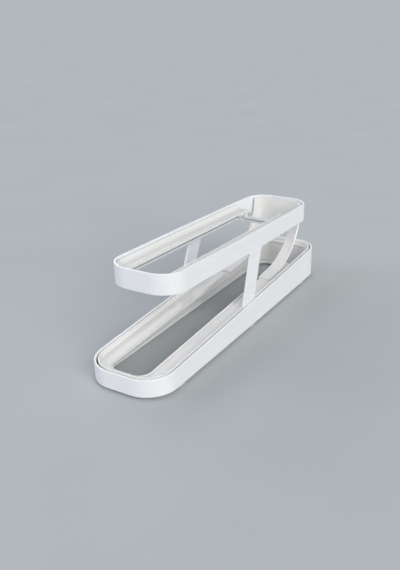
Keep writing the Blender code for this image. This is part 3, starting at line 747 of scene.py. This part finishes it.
class DISPENSER_OT_base(Operator):
    """Sweep the base's wedge-shaped wall and its flange, with recesses for the feet"""

    bl_idname = "dispenser.base"
    bl_label = "Base shell"

    def execute(self, context):
        base, fine = scene_groups(context, "base", "steps")
        plan, rim = base_plan(base), base_rim(base)
        ground = level(BASE_BOX[0].z)
        flange = level(BASE_BOX[0].z + base.flange_thickness)
        lip = base.rim_round
        bm = bmesh.new()
        section = [(lip, ground, 0), (0, ground, 0), (0, rim, 0), (base.wall, rim, 0),
                   (base.wall, flange, 0), (base.flange_width, flange, 0),
                   (base.flange_width, ground, 0), (base.flange_width - lip, ground, 0)]
        loops = sweep(bm, plan, section, fine)
        bow_out(bm.verts, plan, base.flange_width)
        recesses = [self.recess(bm, base, foot, fine) for foot in FOOT_NODES]
        fill(bm, loops[0], loops[-1], *recesses)
        rims, rest = edges_along(*loops[2:4]), edges_along(loops[1], *loops[4:7])
        soften(bm, rims, base.rim_round, fine.edge)
        soften(bm, [edge for edge in rest if edge.is_valid], base.rim_round / 2, fine.edge - 1)
        piece = plastic_piece("dispenser_base", bm, finish_named(context, "Outer plastic"))
        set_in_frame(piece, "base", "white_shell", "base_shell")
        return {"FINISHED"}

    def recess(self, bm, base, foot, fine):
        """Shallow recess for a foot, with a gap all round; returns its mouth's vertices."""
        mouth = foot_outline(bm, base, foot, BASE_BOX[0].z, base.seat_gap, fine.edge)
        roof = extruded(bm, mouth)
        bmesh.ops.translate(bm, verts=roof, vec=(0, 0, base.foot_recess))
        bmesh.ops.edgeloop_fill(bm, edges=edges_of(roof))
        return mouth


class DISPENSER_OT_feet(Operator):
    """Make the six soft pads that stand the base off the ground"""

    bl_idname = "dispenser.feet"
    bl_label = "Feet"

    def execute(self, context):
        base, fine = scene_groups(context, "base", "steps")
        for foot in FOOT_NODES:
            low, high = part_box(foot)
            bm = bmesh.new()
            sole = foot_outline(bm, base, foot, low.z, 0.0, fine.corner // 2)
            bmesh.ops.edgeloop_fill(bm, edges=edges_of(sole))
            pushed(bm, bm.faces[:], (0, 0, high.z - low.z))
            ground = [edge for edge in bm.edges
                      if all(vert.co.z < low.z + SAME_PLACE for vert in edge.verts)]
            soften(bm, ground, base.rim_round, fine.edge)
            piece = plastic_piece("pad" + foot[len("foot"):], bm, finish_named(context, "Pad rubber"))
            set_in_frame(piece, "base", "clear_grey", foot)
        return {"FINISHED"}


class DISPENSER_OT_lower_track(Operator):
    """Sweep the lower track's wall and floor, open it, and add the rails along its slot"""

    bl_idname = "dispenser.lower_track"
    bl_label = "Lower track"

    def execute(self, context):
        base, slide, fine = scene_groups(context, "base", "slide", "steps")
        plan, rim = base_plan(base), base_rim(base)
        ground = level(TRACK_BOX[0].z)
        outer = base.wall + base.groove
        inner = outer + base.track_wall
        skirt = outer + base.skirt_wall
        # The swept part of the floor ends here, just short of the rear opening; the rest is filled.
        seam = inner + base.opening_lip * 0.8
        floor, under = -base.floor_drop, -base.floor_drop - base.floor_thickness
        bm = bmesh.new()
        section = [(seam, rim, floor), (inner, rim, floor), (inner, rim, 0), (outer, rim, 0),
                   (outer, ground, 0), (skirt, ground, 0), (skirt, rim, under), (seam, rim, under)]
        loops = sweep(bm, plan, section, fine)
        bow_out(bm.verts, plan, seam)
        tops = [loops[0], self.keyhole(bm, base, plan, inner + base.opening_lip, fine)]
        tops += [self.socket(bm, base, slide, side, fine) for side in (-1, 1)]
        bottoms = [loops[-1]]
        for top in tops[1:]:
            lay(top, rim, floor)
            bottoms.append(extruded(bm, top))
            lay(bottoms[-1], rim, under)
        fill(bm, *tops)
        fill(bm, *bottoms)
        rims, rest = edges_along(*loops[2:4]), edges_along(loops[1], *loops[4:6])
        soften(bm, rims, base.rim_round, fine.edge)
        soften(bm, rest, base.rim_round / 2, fine.edge - 1)
        self.add_rails(bm, base, rim, floor, fine)
        piece = plastic_piece("dispenser_lower_track", bm, finish_named(context, "Track plastic"))
        set_in_frame(piece, "lower_track", "warm_track", "lower_track")
        return {"FINISHED"}

    def keyhole(self, bm, base, plan, inset, fine):
        """Outline of the roll slot, which widens into the rear opening; returns its vertices."""
        before = set(bm.verts)
        slot, front, start = base.slot_half_width, base.slot_front, base.opening_start
        wide, rear = plan.half_width - inset, plan.rear - inset
        corners = polygon(bm, ((slot, front, 0), (slot, start, 0), (wide, start, 0), (wide, rear, 0),
                               (-wide, rear, 0), (-wide, start, 0), (-slot, start, 0),
                               (-slot, front, 0)))
        round_corners(bm, (corners[0], corners[7]), base.slot_end_radius, fine.corner)
        round_corners(bm, (corners[1], corners[6]), base.opening_lip, fine.edge)
        round_corners(bm, (corners[2], corners[5]), base.opening_corner, fine.edge)
        round_corners(bm, (corners[3], corners[4]), plan.rear_radius - inset, fine.corner)
        return open_face(bm, before)

    def socket(self, bm, base, slide, side, fine):
        """Outline of the socket for a tab of the slide; returns its vertices."""
        x, y = tab_middle(slide, side)
        return small_outline(bm, (x, y, 0), slide.tab_width + 2 * base.seat_gap,
                             slide.tab_length + 2 * base.seat_gap, base.seat_gap, fine.edge)

    def add_rails(self, bm, base, rim, floor, fine):
        """Adds a low rail round the slot that stops before the slide."""
        clear = base.seat_gap / 4
        slot = Plan(base.slot_half_width + clear, base.slot_front - clear, base.opening_start,
                    base.slot_end_radius + clear, base.opening_lip, 0.0)
        rails = bmesh.new()
        sunk = floor - base.rail_chamfer
        sweep(rails, slot, [(-base.rail_width, rim, sunk), *slot_rails(base, rim, floor, sunk)], fine,
              closed=True)
        slice_at(rails, (0, base.rail_end, 0), (0, 1, 0), clear=True)
        join(bm, rails)


class DISPENSER_OT_slide(Operator):
    """Bend the return slide from a grid round its window, thicken it and add its tabs"""

    bl_idname = "dispenser.slide"
    bl_label = "Return slide"

    def execute(self, context):
        base, tier, slide, fine = scene_groups(context, "base", "tier", "slide", "steps")
        curve = SlideCurve(base, tier, slide)
        # Steps up a strip and over half the arch; the grid runs round the window, left side first.
        strip, arch = 2 * fine.corner, fine.corner
        around = 2 * (strip + arch)
        bm = bmesh.new()
        bmesh.ops.create_grid(bm, x_segments=around, y_segments=fine.corner, size=0.5)
        for vert in bm.verts:
            step = round((vert.co.x + 0.5) * around)
            side = -1 if step <= strip + arch else 1
            step = min(step, around - step)
            window = curve.window_edge(step, strip, arch)
            border = curve.outer_edge(step, strip, arch)
            x, along = window.lerp(border, vert.co.y + 0.5)
            vert.co = curve.point(side * x, along)
        bm.normal_update()
        if sum(face.normal.z for face in bm.faces) > 0:
            bmesh.ops.reverse_faces(bm, faces=bm.faces)
        bmesh.ops.solidify(bm, geom=bm.faces[:], thickness=slide.wall)
        self.feather(bm, curve, slide)
        soften(bm, sharp_edges(bm, HARD_TURN), slide.feather_wall / 2, fine.edge - 1)
        for side in (-1, 1):
            x, y = tab_middle(slide, side)
            seat = height(base_rim(base), y, base.seat_gap - base.floor_drop)
            tab = bmesh.new()
            block(tab, (x - slide.tab_width / 2, y - slide.tab_length / 2, seat - slide.tab_depth),
                  (x + slide.tab_width / 2, y + slide.tab_length / 2, seat + slide.wall / 2))
            soften(tab, tab.edges, slide.edge_round, fine.edge - 1)
            join(bm, tab)
        piece = plastic_piece("dispenser_slide", bm, finish_named(context, "Track plastic"))
        set_in_frame(piece, "return_slide", "warm_track", "return_slide")
        return {"FINISHED"}

    def feather(self, bm, curve, slide):
        """Thins the strips towards their front end, so that nothing catches on it."""
        for vert in bm.verts:
            part = (slide.front + slide.feather_length - vert.co.y) / slide.feather_length
            above = vert.co.z - curve.seat(vert.co.y)
            if part > 0:
                vert.co.z -= above * min(1.0, part) * (1 - slide.feather_wall / slide.wall)


class SlideCurve:
    """Surface of the return slide: along is -1 at its front end, 0 at lift-off and 1 at its top."""

    def __init__(self, base, tier, slide):
        """Works out the curve's turns, radii and heights from the pieces that it fits between."""
        self.slide, self.base, self.rim = slide, base, base_rim(base)
        self.lean = math.atan(gradient(self.rim))
        inset = tier.wall + slide.frame_gap
        self.radius = tier.end_radius - inset
        self.flat_half = tier.half_width - tier.end_radius
        self.shoulder = tier.rear - tier.end_radius
        self.edge = self.shoulder + math.sqrt(self.radius ** 2
                                              - (slide.half_width - self.flat_half) ** 2)
        self.foot = self.seat(slide.lift_off)
        self.sweep = (self.edge - slide.lift_off) / (1 - math.sin(self.lean))
        band_top = height(band_edge(tier), tier.rear) + tier.height
        top = height(band_edge(tier), tier.rear - inset) + tier.height - slide.top_drop
        self.last = math.acos(math.cos(self.lean) - (top - self.foot) / self.sweep)
        self.arch_radius = slide.half_width - slide.strip_width
        self.spring = band_top - slide.window_drop - self.arch_radius

    def point(self, x, along):
        """Point of the rear face."""
        if along <= 0:
            y = self.slide.lift_off + along * (self.slide.lift_off - self.slide.front)
            return Vector((x, y, self.seat(y)))
        turn = self.lean + (self.last - self.lean) * along
        over = max(abs(x) - self.flat_half, 0.0)
        bulge = self.shoulder + math.sqrt(self.radius ** 2 - over ** 2) - self.edge
        y = self.slide.lift_off + self.sweep * (math.sin(turn) - math.sin(self.lean))
        y += bulge * (math.sin(turn) ** 2 - math.sin(self.lean) ** 2)
        return Vector((x, y, self.foot + self.sweep * (math.cos(self.lean) - math.cos(turn))))

    def seat(self, y):
        """Height of the strips' underside."""
        return height(self.rim, y, self.base.seat_gap - self.base.floor_drop)

    def along_at(self, z):
        """How far along the slide its rear face reaches a height."""
        turn = math.acos(math.cos(self.lean) - (z - self.foot) / self.sweep)
        return (turn - self.lean) / (self.last - self.lean)

    def climb(self, step, strip):
        """How far along the slide a step of a strip is, up to the arch's spring."""
        straight = strip // 6
        if step <= straight:
            return step / straight - 1
        return self.along_at(self.spring) * (step - straight) / (strip - straight)

    def window_edge(self, step, strip, arch):
        """Half width and place along the slide of the window's edge."""
        if step <= strip:
            return Vector((self.arch_radius, self.climb(step, strip)))
        turn = math.radians(90) * (step - strip) / arch
        z = self.spring + self.arch_radius * math.sin(turn)
        return Vector((self.arch_radius * math.cos(turn), self.along_at(z)))

    def outer_edge(self, step, strip, arch):
        """Half width and place along the slide of its outer edge."""
        half, spring = self.slide.half_width, self.along_at(self.spring)
        if step <= strip:
            return Vector((half, self.climb(step, strip)))
        corner = arch // 2
        if step <= strip + corner:
            return Vector((half, spring + (1 - spring) * (step - strip) / corner))
        return Vector((half * (strip + arch - step) / (arch - corner), 1.0))


class DISPENSER_OT_upper_frame(Operator):
    """Sweep the upper band, set in its side panels with the struts, and add the tray's ledge"""

    bl_idname = "dispenser.upper_frame"
    bl_label = "Upper frame"

    def execute(self, context):
        base, tier, fine = scene_groups(context, "base", "tier", "steps")
        plan, band = band_plan(tier), band_edge(tier)
        # The swept sides are cut out between these and give way to the panels with the struts.
        start, stop = tier.strut_foot - tier.strut_width, tier.strut_foot + 3 * tier.strut_width
        bm = bmesh.new()
        split = tier.tongue_wall
        sweep(bm, plan, [(0, band, 0), (0, band, tier.height), (split, band, tier.height),
                         (tier.wall, band, tier.height), (tier.wall, band, 0), (split, band, 0)],
              fine, closed=True)
        for y in (start, stop):
            slice_at(bm, (0, y, 0), (0, 1, 0))
        gone = [face for face in bm.faces if start < face.calc_center_median().y < stop]
        bmesh.ops.delete(bm, geom=gone, context="FACES")
        for side in (-1, 1):
            self.add_panel(bm, base, tier, side, start, stop, fine)
        bmesh.ops.remove_doubles(bm, verts=bm.verts, dist=SEAM_REACH)
        rims = [edge for edge in sharp_edges(bm, SOFT_TURN)
                if all(vert.co.z > height(band, vert.co.y, tier.height - SEAM_REACH)
                       for vert in edge.verts)]
        soften(bm, rims, tier.rim_round, fine.edge)
        soften(bm, sharp_edges(bm, HARD_TURN), tier.edge_round, fine.edge - 1)
        for i in range(1, fine.side // 2):
            slice_at(bm, (0, start + (stop - start) * 2 * i / fine.side, 0), (0, 1, 0))
        slice_at(bm, (0, band.front, band.at_front), (0, -gradient(band), 1))
        rim = base_rim(base)
        for i in range(1, fine.edge):
            low, high = (height(rim, y) + (height(band, y) - height(rim, y)) * i / fine.edge
                         for y in (start, stop))
            slice_at(bm, (0, start, low), (0, low - high, stop - start))
        foot = plan._replace(half_width=BASE_BOX[1].x - base.bow - base.wall - base.seat_gap)

        def reach(y, z):
            """How far the band's bow, and below it the struts' spread to the base, move a point out."""
            down = (height(band, y) - z) / (height(band, y) - height(rim, y))
            down = max(0.0, min(1.0, down))
            out = foot.half_width - plan.half_width + (base.bow - plan.bow) * swell(plan, y)
            return plan.bow * swell(plan, y) + down * out

        spread_out(bm.verts, plan, tier.wall, reach)
        self.add_ledge(bm, tier, plan, band, fine)
        piece = plastic_piece("dispenser_upper_frame", bm, finish_named(context, "Outer plastic"))
        set_in_frame(piece, "upper_frame", "white_shell", "upper_frame")
        return {"FINISHED"}

    def add_panel(self, bm, base, tier, side, start, stop, fine):
        """Adds one side of the band with its strut, whose tongue is thinner than the band."""
        band, rim = band_edge(tier), base_rim(base)
        feet = (tier.strut_foot, tier.strut_foot + tier.strut_width)
        fall = gradient(band)
        knees = []
        for y in feet:
            climb = (height(band, y) - height(rim, y)) / (1 - fall * tier.strut_lean)
            knees.append((y + tier.strut_lean * climb, height(rim, y) + climb))
        x, tip = side * tier.half_width, -tier.tongue_depth
        points = [(start, height(band, start)), knees[0], (feet[0], height(rim, feet[0])),
                  (feet[0], height(rim, feet[0], tip)), (feet[1], height(rim, feet[1], tip)),
                  (feet[1], height(rim, feet[1])), knees[1], (stop, height(band, stop)),
                  (stop, height(band, stop, tier.height)), (start, height(band, start, tier.height))]
        panel = bmesh.new()
        corners = polygon(panel, [(x, y, z) for y, z in points])
        lean, tilt = math.atan(tier.strut_lean), math.atan(fall)
        for corner, radius, opening in ((corners[1], tier.front_fillet, math.pi / 2 - lean - tilt),
                                        (corners[6], tier.rear_fillet, math.pi / 2 + lean + tilt)):
            round_corners(panel, [corner], radius / math.tan(opening / 2), fine.corner)
        round_corners(panel, corners[3:5], tier.wall, fine.edge)
        inner = pushed(panel, panel.faces[:], (-side * tier.tongue_wall, 0, 0))
        face = only(BMFace, inner)[0]
        bmesh.ops.bisect_plane(panel, geom=[face, *face.edges, *face.verts], dist=SAME_PLACE,
                               plane_co=(0, 0, height(rim, 0.0, base.seat_gap)),
                               plane_no=(0, -gradient(rim), 1))

        def lies_at(face, axis, at):
            """Whether a whole face lies at a place along an axis."""
            return all(abs(vert.co[axis] - at) < SAME_PLACE for vert in face.verts)

        inside = x - side * tier.tongue_wall
        upper = max((face for face in panel.faces if lies_at(face, 0, inside)),
                    key=lambda face: face.calc_center_median().z)
        pushed(panel, [upper], (side * (tier.tongue_wall - tier.wall), 0, 0))
        bmesh.ops.delete(panel, geom=[upper], context="FACES_ONLY")
        ends = [face for face in panel.faces if lies_at(face, 1, start) or lies_at(face, 1, stop)]
        bmesh.ops.delete(panel, geom=ends, context="FACES")
        join(bm, panel)

    def add_ledge(self, bm, tier, plan, band, fine):
        """Adds the ledge round the foot of the band, with a cross piece at the tray's end."""
        ledge = bmesh.new()
        sunk = tier.wall / 2
        rim = outline(ledge, Plan(plan.half_width - sunk, plan.front + sunk, tier.tray_rear,
                                  plan.front_radius - sunk, tier.edge_round, plan.bow), fine)
        bow_out(rim, plan, tier.wall)
        rim_top = self.raised(ledge, rim, band, tier)
        reach = tier.wall + tier.ledge_width
        hole = outline(ledge, Plan(plan.half_width - reach, plan.front + reach,
                                   tier.tray_rear - tier.ledge_bridge, plan.front_radius - reach,
                                   tier.ledge_width, 0.0), fine)
        hole_top = self.raised(ledge, hole, band, tier)
        fill(ledge, rim, hole)
        fill(ledge, rim_top, hole_top)
        join(bm, ledge)

    def raised(self, bm, loop, band, tier):
        """Extrudes one of the ledge's loops up from its underside; returns the top's vertices."""
        lay(loop, band, tier.ledge_rise)
        top = extruded(bm, loop)
        lay(top, band, tier.ledge_rise + tier.ledge_thickness)
        return top


class DISPENSER_OT_upper_track(Operator):
    """Sweep the coved tray with its slot and rails, cut its rear end and add the tie below it"""

    bl_idname = "dispenser.upper_track"
    bl_label = "Upper track"

    def execute(self, context):
        base, tier, fine = scene_groups(context, "base", "tier", "steps")
        plan, band = band_plan(tier), band_edge(tier)
        outer = tier.wall + tier.tray_gap
        inner, skirt = outer + tier.tray_rim, outer + tier.tray_wall
        centre, top = inner + tier.cove_reach, tier.height - tier.tray_drop
        depth = tier.tray_floor_drop - tier.tray_drop
        floor, under = top - depth, top - depth - tier.tray_wall
        stand = tier.ledge_rise + tier.ledge_thickness + base.seat_gap
        cove = self.cove(band, centre, top, tier.cove_reach, depth, 0.0, fine)
        below = tier.cove_reach + tier.tray_wall
        back = self.cove(band, centre, top, below, depth + tier.tray_wall,
                         math.acos((centre - skirt) / below), fine)
        bm = bmesh.new()
        loops = sweep(bm, plan, [*reversed(cove), (outer, band, top), (outer, band, stand),
                                 (skirt, band, stand), *back], fine)
        bow_out(bm.verts, plan, centre)
        slot = Plan(base.slot_half_width, tier.tray_slot_front, tier.tray_rear + tier.bridge_length,
                    tier.bridge_length, base.opening_lip, 0.0)
        rails = sweep(bm, slot, slot_rails(base, band, floor, under), fine)
        fill(bm, loops[0], rails[0])
        fill(bm, loops[-1], rails[-1])
        rims = edges_along(*loops[len(cove) - 1:len(cove) + 3])
        soften(bm, rims, tier.tray_gap, fine.edge - 1)
        slice_at(bm, (0, tier.tray_rear, 0), (0, 1, 0), clear=True)
        self.add_tie(bm, base, tier, height(band, tier.tray_rear, (floor + under) / 2))
        piece = plastic_piece("dispenser_upper_track", bm, finish_named(context, "Track plastic"))
        set_in_frame(piece, "upper_track", "warm_track", "upper_track")
        return {"FINISHED"}

    def cove(self, band, centre, top, reach, depth, start, fine):
        """Section steps down a hollow side, from a start angle to its level foot."""
        section = []
        for i in range(fine.corner // 2 + 1):
            turn = start + (math.radians(90) - start) * i / (fine.corner // 2)
            section.append((centre - reach * math.cos(turn), band, top - depth * math.sin(turn)))
        return section

    def add_tie(self, bm, base, tier, top):
        """Adds the U-shaped tie that joins the two sides below the tray's open end."""
        tie = bmesh.new()
        inner = base.slot_half_width + base.seat_gap
        outer, trough = inner + tier.tray_wall, top - tier.bridge_depth
        bottom = trough - tier.tray_wall
        end = tier.tray_rear - tier.edge_round
        polygon(tie, [(x, end, z) for x, z in ((-outer, top), (-outer, bottom), (outer, bottom),
                                                (outer, top), (inner, top), (inner, trough),
                                                (-inner, trough), (-inner, top))])
        pushed(tie, tie.faces[:], (0, -tier.bridge_length, 0))
        soften(tie, sharp_edges(tie, SOFT_TURN), tier.tray_gap, 2)
        join(bm, tie)


def towards(turn, tip):
    """Direction that is turned from the front to the right and tipped up."""
    return Vector((math.sin(turn) * math.cos(tip), -math.cos(turn) * math.cos(tip), math.sin(tip)))


class DISPENSER_OT_stage(Operator):
    """Lay the pale floor and set up the soft lights and the camera"""

    bl_idname = "dispenser.stage"
    bl_label = "Studio"

    def execute(self, context):
        stage = context.scene.dispenser_stage
        self.lay_floor(stage)
        self.light(stage, "Key sun", stage.key, stage.sun_colour,
                   stage.key_azimuth, stage.key_elevation)
        self.light(stage, "Back sun", stage.back, stage.sun_colour,
                   stage.back_azimuth, stage.back_elevation)
        self.light(stage, "Fill sun", stage.fill, stage.fill_colour,
                   stage.fill_azimuth, stage.fill_elevation)
        self.set_sky(context.scene, stage)
        self.set_camera(context.scene, stage)
        context.scene.view_settings.view_transform = "Standard"
        return {"FINISHED"}

    def lay_floor(self, stage):
        """Lays a plain round floor under the feet."""
        bm = bmesh.new()
        bmesh.ops.create_circle(bm, cap_ends=True, segments=96, radius=stage.floor_radius)
        floor = new_object("studio_floor", mesh_from(bm, "studio_floor"))
        made, tree, shader, position = surface("Floor")
        mottle = spread(tree, noise(tree, position, 7.0, 4.0), 0.3, 0.7)
        plug(tree, shader, {
            "Base Color": blend(tree, mottle, rgba(stage.floor_colour), rgba(stage.floor_colour, 0.97)),
            "Roughness": stage.floor_roughness, "Specular IOR Level": 0.0})
        floor.data.materials.append(made)

    def light(self, stage, name, energy, colour, turn, tip):
        """Adds a wide soft sun."""
        lamp = bpy.data.lights.new(name, "SUN")
        lamp.energy, lamp.angle, lamp.color = energy, stage.softness, colour
        holder = new_object(name, lamp)
        holder.rotation_euler = towards(turn, tip).to_track_quat("Z", "Y").to_euler()

    def set_sky(self, scene, stage):
        """Lights the scene evenly from all round."""
        scene.world = scene.world or bpy.data.worlds.new("Sky")
        scene.world.use_nodes = True
        tree = scene.world.node_tree
        sky = plug(tree, tree.nodes["Background"], {"Color": rgba(stage.sky_colour),
                                                    "Strength": stage.sky_strength})[0]
        backdrop = node(tree, "Background", {"Color": rgba(stage.backdrop_colour)})[0]
        seen = node(tree, "LightPath", {})["Is Camera Ray"]
        both = node(tree, "MixShader", {0: seen, 1: sky, 2: backdrop})[0]
        plug(tree, tree.nodes["World Output"], {"Surface": both})

    def set_camera(self, scene, stage):
        """Places the camera."""
        roll, back = stage.roll, towards(stage.azimuth, stage.elevation)
        across = Vector((0.0, 0.0, 1.0)).cross(back).normalized()
        up = back.cross(across)
        right = across * math.cos(roll) + up * math.sin(roll)
        above = up * math.cos(roll) - across * math.sin(roll)
        lens = bpy.data.cameras.new("Camera")
        lens.lens, lens.sensor_width, lens.clip_start, lens.clip_end = stage.focal, 36.0, 0.02, 200.0
        camera = new_object("Camera", lens)
        camera.matrix_world = Matrix((right, above, back)).transposed().to_4x4()
        camera.location = stage.camera_place
        scene.camera = camera


OPERATORS = (DISPENSER_OT_base, DISPENSER_OT_feet, DISPENSER_OT_lower_track, DISPENSER_OT_slide,
             DISPENSER_OT_upper_frame, DISPENSER_OT_upper_track, DISPENSER_OT_stage)


class DISPENSER_PT_panel(Panel):
    """Lists the dispenser's pieces and their sizes"""

    bl_idname = "DISPENSER_PT_panel"
    bl_label = "Rolling Dispenser"
    bl_space_type = "VIEW_3D"
    bl_region_type = "UI"
    bl_category = "Dispenser"

    def draw(self, context):
        for name, kind in GROUPS:
            column = self.layout.column(heading=kind.__doc__.rstrip("."))
            for size in kind.__annotations__:
                column.prop(getattr(context.scene, name), size)
        for operator in OPERATORS:
            self.layout.operator(operator.bl_idname)


GROUPS = (("dispenser_base", BaseSizes), ("dispenser_tier", TierSizes),
          ("dispenser_slide", SlideSizes), ("dispenser_steps", MeshSteps),
          ("dispenser_finishes", Finishes), ("dispenser_stage", StageSettings))


def register():
    """Registers the classes and hangs the sizes on the scene."""
    for name, kind in GROUPS:
        bpy.utils.register_class(kind)
        setattr(bpy.types.Scene, name, PointerProperty(type=kind))
    for kind in (*OPERATORS, DISPENSER_PT_panel):
        bpy.utils.register_class(kind)


def unregister():
    """Takes them away again."""
    for kind in (DISPENSER_PT_panel, *reversed(OPERATORS)):
        bpy.utils.unregister_class(kind)
    for name, kind in reversed(GROUPS):
        delattr(bpy.types.Scene, name)
        bpy.utils.unregister_class(kind)


def main():
    """Builds the dispenser and the studio, and writes both sizes."""
    register()
    bpy.ops.dispenser.base()
    bpy.ops.dispenser.feet()
    bpy.ops.dispenser.lower_track()
    bpy.ops.dispenser.slide()
    bpy.ops.dispenser.upper_frame()
    bpy.ops.dispenser.upper_track()
    bpy.ops.dispenser.stage()


if __name__ == "__main__":
    main()
